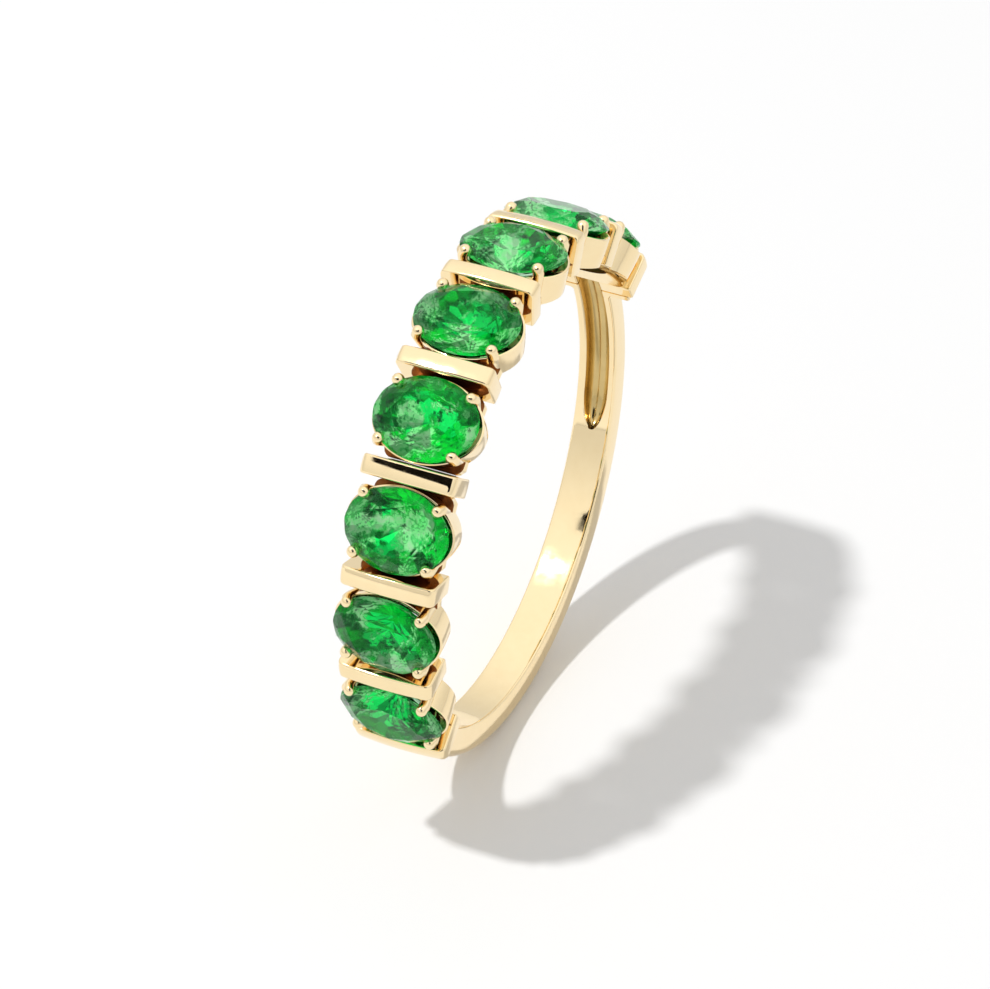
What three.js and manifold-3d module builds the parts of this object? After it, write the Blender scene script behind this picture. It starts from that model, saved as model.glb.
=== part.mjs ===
// A yellow-gold half-eternity ring: eight oval emeralds set crosswise over the upper half of a plain
// shank, each in its own claw collet, with a polished divider bar standing between every two stones.
//
// Millimetres, +Z up, +Y along the finger. The origin is the centre of the finger hole, half-way
// across the ring. The ring is modelled with its head at the top and is then rolled about the finger
// axis by DISPLAY_ROLL_DEG, the way it stands on its shank with the stones facing forwards.
import * as THREE from "three";
import { ConvexGeometry } from "three/addons/geometries/ConvexGeometry.js";
import { mergeVertices } from "three/addons/utils/BufferGeometryUtils.js";
import Module from "manifold-3d";

const wasm = await Module();
wasm.setup();

// ---------------------------------------------------------------- driving dimensions, in mm
const FINGER_DIAMETER = 17.4;
const DISPLAY_ROLL_DEG = 28.5;

const STONE_COUNT = 8;
const STONE_LENGTH = 3.92; // along the finger
const STONE_WIDTH = 3.05; // round the ring
const GIRDLE_HEIGHT = 1.33; // middle of the girdle above the finger hole
const GIRDLE_THICK = 0.1;
const CROWN_HEIGHT = 0.56;
const PAVILION_DEPTH = 1.05;
const TABLE_SHARE = 0.6; // table size as a share of the stone's
const STAR_SHARE = 0.83; // ring where the star facets end, as a share of the stone's

const BAR_THICK = 0.7;
const BAR_LENGTH = 3.6; // along the finger, at the top of the bar
const BAR_HEIGHT = 1.6; // top of the bar's shoulders above the finger hole
const BAR_CROWN = 0.07; // rise of the top face between its shoulders
const BAR_END_TAPER = 0.08; // each end leans in by this much down to the finger hole
const BAR_SHOULDER_RADIUS = 0.28;

const RIM_BELOW_GIRDLE = 0.08;
const RIM_OUT_ACROSS = 0.1; // collet rim outside the stone's ends
const RIM_OUT_ALONG = 0.035; // collet rim outside the stone's long sides
const COLLET_END_TAPER = 0.2; // each end of the collet leans in by this much down to the finger hole
const COLLET_TO_BAR = 0.075; // at the collet's rim; lower down the collet closes up to the bar
const COLLET_WALL = 0.3;
const BASE_THICK = 0.32; // plate at the collet's foot that reaches the bars on both sides of it
const BASE_LENGTH = 3; // along the finger
const BASE_CORNER = 0.2;
const BASE_LEDGE = 0.75; // from the cup's foot in to the oval hole under the stone

const CLAW_RADIUS = 0.21;
const CLAW_OUT = 0.12; // claw's centre line outside the girdle
const CLAW_ABOVE_GIRDLE = 0.16; // centre of the claw's round tip above the middle of the girdle
const CLAW_TIP_RADIUS = 0.23;
const CLAW_TIP_LEAN = 0.09; // the tip leans in over the stone by this much

const SHANK_WIDTH = 1.5;
const SHANK_SHOULDER_THICK = 1.13;
const SHANK_BOTTOM_THICK = 1.45;
const SHANK_DOME = 0.45; // rise of the half-round outer face
const INNER_EDGE_CHAMFER = 0.09;
const FLANGE_INSET = 0.25; // the shank's ends widen to a thin flange, this far inside the end bar's ends
const FLANGE_THICK = 0.24; // round the ring
const FLANGE_HEIGHT = 1.05; // above the finger hole
const FLANGE_FILLET = 0.22;

const CHANNEL_WIDTH = 0.9;
const CHANNEL_DEPTH = 0.62;
const CHANNEL_SPAN_DEG = 48; // from the end bar's middle round to the channel's tip
const CHANNEL_TIP_LENGTH = 1.5;

const SEAM = 0.03; // solder seam between two gold pieces
const SETTING_CLEARANCE = 0.03; // between a stone and its seat and claws

const SHANK_FACETS = 90;
const OVAL_FACETS = 24;
const FAR = 30; // half-size of cutting shapes, past everything

// ---------------------------------------------------------------- what follows from them
const FINGER_RADIUS = FINGER_DIAMETER / 2;
const TOP = Math.PI / 2; // the middle of the head, as an angle from +X towards +Z
const GIRDLE_RADIUS = FINGER_RADIUS + GIRDLE_HEIGHT;
const RIM_RADIUS = GIRDLE_RADIUS - GIRDLE_THICK / 2 - RIM_BELOW_GIRDLE;
const FOOT_RADIUS = FINGER_RADIUS - 0.2; // where bars and collets start, before the finger hole cuts them
const HALF_BAR = BAR_THICK / 2;
const RIM_HALF = {
  x: STONE_WIDTH / 2 + RIM_OUT_ALONG,
  y: STONE_LENGTH / 2 + RIM_OUT_ACROSS,
};
// From one bar to the next, so that a collet's rim clears the bars on both sides of it.
const RIM_TO_BAR = RIM_HALF.x + COLLET_TO_BAR;
const PITCH =
  2 * (Math.atan(RIM_TO_BAR / RIM_RADIUS) + Math.asin(HALF_BAR / Math.hypot(RIM_TO_BAR, RIM_RADIUS)));

const gold = new THREE.MeshStandardMaterial({ color: 0xe3bd76, roughness: 0.12, metalness: 1 });
const emerald = new THREE.MeshStandardMaterial({ color: 0x0f8a3c, roughness: 0.05, metalness: 0 });

// ---------------------------------------------------------------- solids
// A closed geometry as a manifold-3d solid.
function solidOf(geometry) {
  const bare = geometry.clone();
  bare.deleteAttribute("normal");
  bare.deleteAttribute("uv");
  const merged = mergeVertices(bare, 1e-4);
  return new wasm.Manifold(
    new wasm.Mesh({
      numProp: 3,
      vertProperties: merged.attributes.position.array,
      triVerts: new Uint32Array(merged.index.array),
    }),
  );
}

function meshOf(solid, name, material) {
  const made = solid.getMesh();
  const geometry = new THREE.BufferGeometry();
  geometry.setAttribute("position", new THREE.BufferAttribute(made.vertProperties, 3));
  geometry.setIndex(new THREE.BufferAttribute(made.triVerts, 1));
  geometry.computeVertexNormals();
  const mesh = new THREE.Mesh(geometry, material);
  mesh.name = name;
  return mesh;
}

// An outline in the XZ plane, extruded along Y from -width / 2 to width / 2.
function acrossRing(shape, width) {
  const geometry = new THREE.ExtrudeGeometry(shape, { depth: width, bevelEnabled: false });
  geometry.translate(0, 0, -width / 2).rotateX(Math.PI / 2);
  return solidOf(geometry);
}

// A profile of [radius, y] points turned about the finger axis.
function turned(points, facets = SHANK_FACETS) {
  const profile = points.map(([radius, y]) => new THREE.Vector2(radius, y));
  return solidOf(new THREE.LatheGeometry(profile, facets));
}

// The wedge of the XZ plane between two angles less than half a turn apart.
function sector(from, to, width) {
  const shape = new THREE.Shape();
  shape.moveTo(0, 0);
  shape.lineTo(FAR * Math.cos(from), FAR * Math.sin(from));
  shape.lineTo(FAR * Math.cos(to), FAR * Math.sin(to));
  return acrossRing(shape, width);
}

// The finger: a cylinder that everything in the head is cut back to.
const finger = solidOf(
  new THREE.CylinderGeometry(FINGER_RADIUS, FINGER_RADIUS, FAR, SHANK_FACETS),
);

// Turns a solid built standing on +Z so that it stands at an angle round the ring.
function standAt(solid, angle) {
  return solid.rotate([0, THREE.MathUtils.radToDeg(TOP - angle), 0]);
}

const barAngle = (index) => TOP + (STONE_COUNT / 2 - index) * PITCH;
const stoneAngle = (index) => TOP + ((STONE_COUNT - 1) / 2 - index) * PITCH;

// Distance from a stone's middle plane to the face of the bar beside it, at a height above the origin.
function barFaceAt(height) {
  return height * Math.tan(PITCH / 2) - HALF_BAR / Math.cos(PITCH / 2);
}

// ---------------------------------------------------------------- stone: a cut oval, built at the top
// grow makes the same stone larger all round, which is how its seat and its claws' notches are cut.
function stone(grow = 0) {
  const points = [];
  const ring = (count, turn, share, height) => {
    for (let i = 0; i < count; i++) {
      const angle = ((i + turn) / count) * 2 * Math.PI;
      const y = (STONE_LENGTH / 2 + grow) * share * Math.cos(angle);
      const x = (STONE_WIDTH / 2 + grow) * share * Math.sin(angle);
      points.push(new THREE.Vector3(x, y, height));
    }
  };
  const girdleTop = GIRDLE_RADIUS + GIRDLE_THICK / 2 + grow;
  const girdleFoot = GIRDLE_RADIUS - GIRDLE_THICK / 2 - grow;
  ring(8, 0.5, TABLE_SHARE, girdleTop + CROWN_HEIGHT);
  ring(8, 0, STAR_SHARE, girdleTop + CROWN_HEIGHT * 0.53);
  ring(16, 0.5, 1, girdleTop);
  ring(16, 0.5, 1, girdleFoot);
  ring(8, 0, 0.62, girdleFoot - PAVILION_DEPTH * 0.46);
  points.push(new THREE.Vector3(0, 0, girdleFoot - PAVILION_DEPTH));
  return solidOf(new ConvexGeometry(points));
}

// ---------------------------------------------------------------- collet: an oval cup with four claws
// An oval frustum: half-sizes across (y) and along (x) at its foot and at its rim.
function taperedOval(footHeight, footHalf, rimHeight, rimHalf) {
  const height = rimHeight - footHeight;
  const geometry = new THREE.CylinderGeometry(1, 1, height, OVAL_FACETS).rotateX(Math.PI / 2);
  geometry.translate(0, 0, footHeight + height / 2);
  const at = geometry.attributes.position;
  for (let i = 0; i < at.count; i++) {
    const share = (at.getZ(i) - footHeight) / height;
    at.setX(i, at.getX(i) * THREE.MathUtils.lerp(footHalf.x, rimHalf.x, share));
    at.setY(i, at.getY(i) * THREE.MathUtils.lerp(footHalf.y, rimHalf.y, share));
  }
  return solidOf(geometry);
}

// The base plate: its long sides lean with the bars beside it, and an oval hole lets light in under the stone.
function base(footHalf) {
  const points = [];
  for (const height of [FOOT_RADIUS, FINGER_RADIUS + BASE_THICK])
    for (const sideX of [-1, 1])
      for (const sideY of [-1, 1]) {
        const x = barFaceAt(height) - SEAM;
        const y = BASE_LENGTH / 2;
        points.push(new THREE.Vector3(sideX * x, sideY * (y - BASE_CORNER), height));
        points.push(new THREE.Vector3(sideX * (x - BASE_CORNER), sideY * y, height));
      }
  const hole = { x: footHalf.x - BASE_LEDGE, y: footHalf.y - BASE_LEDGE };
  return solidOf(new ConvexGeometry(points)).subtract(taperedOval(FOOT_RADIUS - 1, hole, GIRDLE_RADIUS, hole));
}

function claw(sideX, sideY, footHalf) {
  const diagonal = Math.SQRT1_2; // the claws stand on the oval's diagonals
  const foot = new THREE.Vector3(
    sideX * diagonal * (footHalf.x - CLAW_RADIUS / 2),
    sideY * diagonal * (footHalf.y - CLAW_RADIUS / 2),
    FOOT_RADIUS + CLAW_RADIUS,
  );
  const tip = new THREE.Vector3(
    sideX * diagonal * (STONE_WIDTH / 2 + CLAW_OUT),
    sideY * diagonal * (STONE_LENGTH / 2 + CLAW_OUT),
    GIRDLE_RADIUS + CLAW_ABOVE_GIRDLE,
  );
  const along = tip.clone().sub(foot);
  const wire = new THREE.CapsuleGeometry(CLAW_RADIUS, along.length(), 2, 8);
  const turn = new THREE.Quaternion().setFromUnitVectors(
    new THREE.Vector3(0, 1, 0),
    along.clone().normalize(),
  );
  wire.applyQuaternion(turn);
  wire.translate(...foot.clone().add(tip).multiplyScalar(0.5).toArray());
  const bead = new THREE.SphereGeometry(CLAW_TIP_RADIUS, 9, 6).rotateX(Math.PI / 2);
  bead.translate(tip.x - sideX * CLAW_TIP_LEAN, tip.y - sideY * CLAW_TIP_LEAN, tip.z);
  return solidOf(wire).add(solidOf(bead));
}

function collet() {
  const footHalf = { x: barFaceAt(FOOT_RADIUS) - SEAM, y: RIM_HALF.y - COLLET_END_TAPER };
  const inside = (half) => ({ x: half.x - COLLET_WALL, y: half.y - COLLET_WALL });
  let made = taperedOval(FOOT_RADIUS, footHalf, RIM_RADIUS, RIM_HALF);
  for (const sideX of [-1, 1])
    for (const sideY of [-1, 1]) made = made.add(claw(sideX, sideY, footHalf));
  const past = 0.01;
  const light = taperedOval(FOOT_RADIUS - past, inside(footHalf), RIM_RADIUS + past, inside(RIM_HALF));
  return made.subtract(light).add(base(footHalf)).subtract(stone(SETTING_CLEARANCE));
}

// ---------------------------------------------------------------- divider bar: an upright plate
function dividerBar() {
  const top = FINGER_RADIUS + BAR_HEIGHT;
  const half = BAR_LENGTH / 2;
  const foot = half - BAR_END_TAPER;
  const corner = BAR_SHOULDER_RADIUS;
  const shape = new THREE.Shape();
  shape.moveTo(-foot, FOOT_RADIUS);
  shape.lineTo(foot, FOOT_RADIUS);
  shape.lineTo(half, top - corner);
  shape.absarc(half - corner, top - corner, corner, 0, Math.PI / 2, false);
  shape.quadraticCurveTo(0, top + 2 * BAR_CROWN, -half + corner, top);
  shape.absarc(-half + corner, top - corner, corner, Math.PI / 2, Math.PI, false);
  shape.closePath();
  const geometry = new THREE.ExtrudeGeometry(shape, {
    depth: BAR_THICK,
    bevelEnabled: false,
    curveSegments: 5,
  });
  // the outline's x runs along the finger and its y up; the plate's thickness runs round the ring
  geometry.translate(0, 0, -HALF_BAR).rotateX(Math.PI / 2).rotateZ(Math.PI / 2);
  return solidOf(geometry);
}

// ---------------------------------------------------------------- shank: a half-round, flanged band
const END_ANGLE = barAngle(STONE_COUNT); // the last bar's, on the +X side
const END_GAP = HALF_BAR + SEAM;

// A point round the ring from the middle plane of the bar at +X: out along the plane, and away from the head.
function pastEndBar(out, away) {
  return [
    out * Math.cos(END_ANGLE) + away * Math.sin(END_ANGLE),
    out * Math.sin(END_ANGLE) - away * Math.cos(END_ANGLE),
  ];
}

// Everything on the shank's side of the two end bars.
function belowHead(width) {
  const [x, z] = pastEndBar(FAR, END_GAP);
  const [, middle] = pastEndBar(0, END_GAP);
  const shape = new THREE.Shape();
  shape.moveTo(0, middle);
  shape.lineTo(-x, z);
  shape.lineTo(-FAR, -FAR);
  shape.lineTo(FAR, -FAR);
  shape.lineTo(x, z);
  return acrossRing(shape, width);
}

function band() {
  const outer = FINGER_RADIUS + SHANK_SHOULDER_THICK;
  const half = SHANK_WIDTH / 2;
  const dome = 8;
  const points = [[0, -half]];
  for (let i = 0; i <= dome; i++) {
    const angle = -Math.PI / 2 + (i / dome) * Math.PI;
    points.push([outer - SHANK_DOME * (1 - Math.cos(angle)), half * Math.sin(angle)]);
  }
  points.push([0, half]);
  const drop = SHANK_BOTTOM_THICK - SHANK_SHOULDER_THICK; // the outer circle sits lower than the hole
  return turned(points).translate([0, 0, -drop]);
}

// What the chamfers along the band's two inner edges take away, with a hole smaller than the finger's.
function edgeChamfers() {
  const half = SHANK_WIDTH / 2;
  const wide = FINGER_RADIUS + INNER_EDGE_CHAMFER;
  const depth = INNER_EDGE_CHAMFER + FINGER_RADIUS - FOOT_RADIUS;
  return turned([
    [0, -FAR],
    [wide, -FAR],
    [wide, -half],
    [FOOT_RADIUS, -half + depth],
    [FOOT_RADIUS, half - depth],
    [wide, half],
    [wide, FAR],
    [0, FAR],
  ]);
}

// The flange behind the end bar at +X, filleted down to the band's width.
function flange() {
  const wide = BAR_LENGTH / 2 - FLANGE_INSET;
  const narrow = SHANK_WIDTH / 2 - 0.02;
  const near = 0; // inside the bar, until the shank is cut back to the bar's face
  const far = END_GAP + FLANGE_THICK;
  const fillet = FLANGE_FILLET;
  const shape = new THREE.Shape(); // x is the way from the head, y is along the finger
  shape.moveTo(near, -wide);
  shape.lineTo(far, -wide);
  shape.lineTo(far, -narrow - fillet);
  shape.absarc(far + fillet, -narrow - fillet, fillet, Math.PI, Math.PI / 2, true);
  shape.lineTo(far + fillet, narrow);
  shape.absarc(far + fillet, narrow + fillet, fillet, -Math.PI / 2, -Math.PI, true);
  shape.lineTo(far, wide);
  shape.lineTo(near, wide);
  shape.closePath();
  const block = new THREE.ExtrudeGeometry(shape, { depth: 4, bevelEnabled: false, curveSegments: 5 });
  // stand the outline upright at the ring's side, its depth running outwards along +X
  block.applyMatrix4(
    new THREE.Matrix4().makeBasis(
      new THREE.Vector3(0, 0, -1),
      new THREE.Vector3(0, 1, 0),
      new THREE.Vector3(1, 0, 0),
    ),
  );
  block.translate(FINGER_RADIUS - 1, 0, 0).rotateY(-END_ANGLE);
  const skin = FINGER_RADIUS + FLANGE_HEIGHT;
  return solidOf(block).intersect(turned([[0, -wide], [skin, -wide], [skin, wide], [0, wide]]));
}

// The hollow milled along the inside of the shoulder at +X, through the end bar and round to its tip.
function shoulderChannel() {
  const half = CHANNEL_WIDTH / 2;
  const floor = FINGER_RADIUS + CHANNEL_DEPTH;
  const start = END_ANGLE + 2 * Math.asin(HALF_BAR / FINGER_RADIUS);
  const tip = END_ANGLE - THREE.MathUtils.degToRad(CHANNEL_SPAN_DEG) + CHANNEL_TIP_LENGTH / FINGER_RADIUS;
  const bullet = new THREE.CylinderGeometry(1, 1, FAR, 20).rotateZ(-Math.PI / 2);
  bullet.scale(1, half * 1.1, CHANNEL_TIP_LENGTH).translate(FAR / 2, 0, 0).rotateY(-tip);
  return turned([
    [0, -half],
    [floor - half / 2, -half],
    [floor, -half / 2],
    [floor, half / 2],
    [floor - half / 2, half],
    [0, half],
  ]).intersect(sector(tip, start, SHANK_WIDTH).add(solidOf(bullet)));
}

const channel = shoulderChannel().mirror([1, 0, 0]); // it is on the -X shoulder only

function shank() {
  const end = flange();
  return band()
    .subtract(edgeChamfers())
    .add(end)
    .add(end.mirror([1, 0, 0]))
    .subtract(finger)
    .intersect(belowHead(BAR_LENGTH))
    .subtract(channel);
}

// ---------------------------------------------------------------- the ring
const ring = new THREE.Group();
ring.rotation.y = THREE.MathUtils.degToRad(DISPLAY_ROLL_DEG);

ring.add(meshOf(shank(), "shank", gold));

const bar = dividerBar();
for (let i = 0; i <= STONE_COUNT; i++) {
  const placed = standAt(bar, barAngle(i)).subtract(finger);
  ring.add(meshOf(i === 0 ? placed.subtract(channel) : placed, `divider_bar_${i + 1}`, gold));
}

const cup = collet();
const gem = stone();
for (let i = 0; i < STONE_COUNT; i++) {
  const angle = stoneAngle(i);
  ring.add(meshOf(standAt(cup, angle).subtract(finger), `claw_collet_${i + 1}`, gold));
  ring.add(meshOf(standAt(gem, angle), `oval_emerald_${i + 1}`, emerald));
}

export default ring;
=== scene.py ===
import math
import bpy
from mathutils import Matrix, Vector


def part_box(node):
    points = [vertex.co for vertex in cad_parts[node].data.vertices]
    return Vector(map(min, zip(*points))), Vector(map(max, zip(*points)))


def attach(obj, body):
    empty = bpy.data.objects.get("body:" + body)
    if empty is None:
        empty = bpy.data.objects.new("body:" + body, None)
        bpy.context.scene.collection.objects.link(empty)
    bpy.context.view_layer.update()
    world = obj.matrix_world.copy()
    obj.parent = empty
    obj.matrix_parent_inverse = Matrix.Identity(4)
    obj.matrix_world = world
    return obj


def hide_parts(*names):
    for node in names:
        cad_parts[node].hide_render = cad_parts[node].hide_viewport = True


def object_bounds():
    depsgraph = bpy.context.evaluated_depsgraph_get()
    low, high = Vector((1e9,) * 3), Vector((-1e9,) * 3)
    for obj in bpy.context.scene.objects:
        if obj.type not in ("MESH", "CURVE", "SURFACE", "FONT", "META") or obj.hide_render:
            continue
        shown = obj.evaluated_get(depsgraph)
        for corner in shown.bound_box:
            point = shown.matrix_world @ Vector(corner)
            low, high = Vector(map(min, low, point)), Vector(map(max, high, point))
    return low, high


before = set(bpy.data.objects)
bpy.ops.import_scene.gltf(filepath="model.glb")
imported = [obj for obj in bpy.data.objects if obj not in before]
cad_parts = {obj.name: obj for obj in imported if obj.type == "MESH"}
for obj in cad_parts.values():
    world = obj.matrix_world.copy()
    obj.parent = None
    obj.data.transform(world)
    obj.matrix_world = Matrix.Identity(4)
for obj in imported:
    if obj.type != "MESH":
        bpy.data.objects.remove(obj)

from types import SimpleNamespace

import bmesh
import bpy
from mathutils import Matrix, Vector

bl_info = {
    "name": "Half-eternity ring",
    "version": (1, 0, 0),
    "blender": (4, 5, 0),
    "location": "View3D > Sidebar > Ring",
    "description": "Builds a gold half-eternity ring with oval emeralds and divider bars",
    "category": "Add Mesh",
}

CAD_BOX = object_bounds()
TOP = math.pi / 2  # the middle of the head, as an angle from +X towards +Z
BOX_SLACK = 0.0002  # how far a piece's box may be from its node's, in metres

# Points of the band's cross-section and steps along it
EDGE_TURNS = (0, 22.5, 45, 67.5, 90)  # degrees round an inner edge
FLAT_STEPS = 6
HOLLOW_STEPS = 16
DOME_STEPS = 24
HOLLOW_COLUMNS = range(len(EDGE_TURNS) + FLAT_STEPS, len(EDGE_TURNS) + FLAT_STEPS + HOLLOW_STEPS + 1)
GOLDEN_SHARE = 0.618034  # steps of this share of a turn never repeat, which spreads the facets' painted light and shade
SPUN = math.radians(170)  # the loop is spun this far, and its points are then placed one by one


def millimetres(name, description, value):
    return bpy.props.FloatProperty(
        name=name, description=description, default=value / 1000, min=0, unit="LENGTH", precision=5
    )


def degrees(name, description, value):
    return bpy.props.FloatProperty(
        name=name, description=description, default=math.radians(value), subtype="ANGLE"
    )


def colour(name, description, code):
    return bpy.props.StringProperty(name=name, description=description, default=code)


class RingSizes(bpy.types.PropertyGroup):
    """Sizes of the ring's pieces"""

    finger: millimetres("Finger hole", "Diameter of the finger hole", 17.4)
    display_roll: degrees("Display roll", "How far the head is rolled forwards from the top", 28.5)
    stone_count: bpy.props.IntProperty(name="Stones", description="Stones in the head", default=8, min=1)
    stone_length: millimetres("Stone length", "Along the finger", 3.92)
    stone_width: millimetres("Stone width", "Round the ring", 3.05)
    girdle_height: millimetres("Girdle height", "Middle of the girdle above the finger hole", 1.33)
    girdle_thick: millimetres("Girdle thickness", "Height of the stone's unfaceted edge", 0.1)
    crown: millimetres("Crown height", "Girdle to table", 0.47)
    pavilion: millimetres("Pavilion depth", "Girdle to culet", 1.05)
    table_share: bpy.props.FloatProperty(
        name="Table share",
        description="Table size as a share of the stone's",
        default=0.6,
        min=0.3,
        max=0.8,
    )
    bar_thick: millimetres("Bar thickness", "Divider bar, round the ring", 0.7)
    bar_length: millimetres("Bar length", "Divider bar, along the finger", 3.6)
    bar_height: millimetres("Bar height", "Top of the bar above the finger hole", 1.6)
    bar_crown: millimetres("Bar crown", "Rise of the bar's top face", 0.07)
    bar_taper: millimetres("Bar end taper", "How far each end of the bar leans in at its foot", 0.08)
    bar_shoulder: millimetres("Bar shoulder", "Radius of the bar's top corners", 0.28)
    bar_edge: millimetres("Bar edge", "Rounding of the bar's long edges", 0.085)
    bar_bow: millimetres("Bar bow", "How far the top's long edges fall below its middle", 0.03)
    rim_drop: millimetres("Collet rim drop", "Rim below the girdle", 0.08)
    rim_across: millimetres("Rim past the ends", "Rim outside the stone's ends", 0.1)
    rim_along: millimetres("Rim past the sides", "Rim outside the stone's long sides", 0.035)
    collet_taper: millimetres("Collet end taper", "How far each end leans in at its foot", 0.2)
    collet_to_bar: millimetres("Collet to bar", "Gap at the rim", 0.075)
    collet_wall: millimetres("Collet wall", "Wall of the cup", 0.3)
    base_thick: millimetres("Base thickness", "Plate at the collet's foot", 0.32)
    base_length: millimetres("Base length", "Plate at the collet's foot, along the finger", 3.0)
    base_corner: millimetres("Base corner", "Cut corner of the plate at the collet's foot", 0.2)
    base_ledge: millimetres("Base ledge", "From the cup's foot in to the hole under the stone", 0.75)
    rim_dip: millimetres("Rim dip", "How far the rim dips between the claws at the stone's ends", 0.16)
    claw_radius: millimetres("Claw radius", "Shaft of a claw", 0.2)
    claw_bead: millimetres("Claw bead radius", "Rounded tip of a claw", 0.225)
    claw_out: millimetres("Claw offset", "Claw's centre outside the girdle", 0.12)
    claw_rise: millimetres("Claw rise", "Centre of a claw's tip above the girdle", 0.16)
    claw_lean: millimetres("Claw lean", "How far the tip leans over the stone", 0.09)
    shank_width: millimetres("Shank width", "Along the finger", 1.5)
    shoulder_thick: millimetres("Shoulder thickness", "Shank beside the head", 1.13)
    bottom_thick: millimetres("Bottom thickness", "Shank opposite the head", 1.45)
    dome: millimetres("Shank dome", "Rise of the half-round outer face", 0.45)
    edge_round: millimetres("Inner edge", "Rounding of the shank's inner edges", 0.09)
    comfort: millimetres("Comfort curve", "Fall of the inner face from its middle to its edges", 0.012)
    flange_inset: millimetres("Flange inset", "Flange inside the end bar's ends", 0.25)
    flange_thick: millimetres("Flange thickness", "Flange, round the ring", 0.24)
    flange_fillet: millimetres("Flange fillet", "Fillet from flange to band", 0.22)
    channel_width: millimetres("Channel width", "Hollow along one shoulder's inside", 0.9)
    channel_depth: millimetres("Channel depth", "Hollow along one shoulder's inside", 0.62)
    channel_span: degrees("Channel span", "From the end bar's middle to the channel's tip", 48)
    channel_tip: millimetres("Channel tip", "Length of the channel's pointed tip", 1.5)
    seam: millimetres("Seam", "Solder seam between two pieces", 0.03)


class RingColours(bpy.types.PropertyGroup):
    """Colours of the finishes and of the painted shade, as sRGB hex codes"""

    gold: colour("Gold", "Polished 14 carat yellow gold", "#FBE6BA")
    # Painted shade: this brown stands in for the shade deep in the recesses; the real ring is the same
    # gold there.
    cast: colour("Cast gold", "Unpolished skin in the recesses", "#8A5630")
    # Painted shade: this deeper gold stands in for the shade inside the hollow.
    satin_shade: colour("Satin gold", "Inside of the shoulder's hollow", "#DCC48C")
    clear: colour("Emerald crown", "Tint of the clear upper half", "#DAFFE3")
    glint: colour("Emerald glint", "Tint of reflections off the polished crown", "#5FC486")
    emerald: colour("Emerald", "Bright zones of the body colour", "#14FF78")
    deep: colour("Deep emerald", "Dark zones of the body colour", "#10DC64")
    cloud: colour("Emerald cloud", "Pale veils inside the stone", "#E6FFE0")
    # The moss colour also paints each facet's shade inside the emeralds.
    moss: colour("Emerald moss", "Dark mossy inclusions", "#013414")
    floor: colour("Floor", "Pale studio floor", "#F4F4F4")
    velvet: colour("Velvet", "Black cards that shade the reflections", "#0B0908")


class StageSizes(bpy.types.PropertyGroup):
    """The camera and the lights"""

    camera_azimuth: degrees("Camera azimuth", "Direction to the camera, from +X towards +Y", 24.0)
    camera_elevation: degrees("Camera elevation", "Height of the camera above the horizon", 38.43)
    camera_distance: millimetres("Camera distance", "From the aim point", 201.9)
    camera_lens: bpy.props.FloatProperty(
        name="Lens", description="Focal length on a 36 mm wide sensor, in mm", default=204.1, min=1
    )
    camera_aim: bpy.props.FloatVectorProperty(
        name="Aim",
        description="Point the camera looks at, from the finger hole's centre",
        default=(0.00021, -0.00018, -0.00015),
        subtype="TRANSLATION",
        unit="LENGTH",
    )
    key_azimuth: degrees("Key azimuth", "Direction to the key light, from +X towards +Y", -50)
    key_elevation: degrees("Key elevation", "Height of the key light above the horizon", 62.5)
    key_distance: millimetres("Key distance", "From the finger hole's centre", 600)
    key_size: millimetres("Key size", "Diameter of the key light", 36)
    key_power: bpy.props.FloatProperty(
        name="Key power", description="Power of the key light", default=1.9, min=0, unit="POWER"
    )
    fill: bpy.props.FloatProperty(
        name="Fill", description="Strength of the even light from all round", default=0.66, min=0
    )
    tent_low: bpy.props.FloatProperty(
        name="Tent, low", description="Brightness of the reflectors at the horizon", default=0.8, min=0
    )
    tent_high: bpy.props.FloatProperty(
        name="Tent, high", description="Brightness of the reflectors overhead", default=1.15, min=0
    )
    tent_radius: millimetres("Tent radius", "Size of the reflectors' tent", 2500)
    floor_radius: millimetres("Floor radius", "Size of the floor", 3000)


# ---------------------------------------------------------------- what follows from the sizes
def sizes():
    """The ring's sizes with every length in millimetres, and what follows from them"""
    group = bpy.context.scene.ring_sizes
    s = SimpleNamespace()
    for name, prop in group.bl_rna.properties.items():
        if name in ("name", "rna_type"):
            continue
        value = getattr(group, name)
        setattr(s, name, value * 1000 if getattr(prop, "unit", "") == "LENGTH" else value)
    s.hole = s.finger / 2
    s.girdle = s.hole + s.girdle_height
    s.rim = s.girdle - s.girdle_thick / 2 - s.rim_drop
    s.start = s.hole - 0.2  # where bars and collets would start if the finger hole didn't cut them
    s.half_bar = s.bar_thick / 2
    s.rim_half = Vector((s.stone_width / 2 + s.rim_along, s.stone_length / 2 + s.rim_across))
    reach = s.rim_half.x + s.collet_to_bar
    s.pitch = 2 * (math.atan(reach / s.rim) + math.asin(s.half_bar / math.hypot(reach, s.rim)))
    s.end = TOP - s.stone_count / 2 * s.pitch  # the last bar's angle
    foot = s.start * math.tan(s.pitch / 2) - s.half_bar / math.cos(s.pitch / 2) - s.seam
    s.foot_half = Vector((foot, s.rim_half.y - s.collet_taper))
    return s


def bar_angle(s, index):
    return TOP + (s.stone_count / 2 - index) * s.pitch


def stone_angle(s, index):
    return TOP + ((s.stone_count - 1) / 2 - index) * s.pitch


def lerp(a, b, share):
    return a + (b - a) * share


# ---------------------------------------------------------------- mesh helpers
def edge_loop(bm, verts):
    """The edges that join the given verts to each other"""
    ring = set(verts)
    near = {e for v in verts for e in v.link_edges}
    return [e for e in near if e.verts[0] in ring and e.verts[1] in ring]


def extruded(bm, edges, matrix):
    """Extrudes a loop of edges, moves the new loop by the matrix and returns its verts and edges"""
    made = bmesh.ops.extrude_edge_only(bm, edges=edges)["geom"]
    verts = [g for g in made if isinstance(g, bmesh.types.BMVert)]
    bmesh.ops.transform(bm, matrix=matrix, verts=verts)
    return verts, edge_loop(bm, verts)


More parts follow.
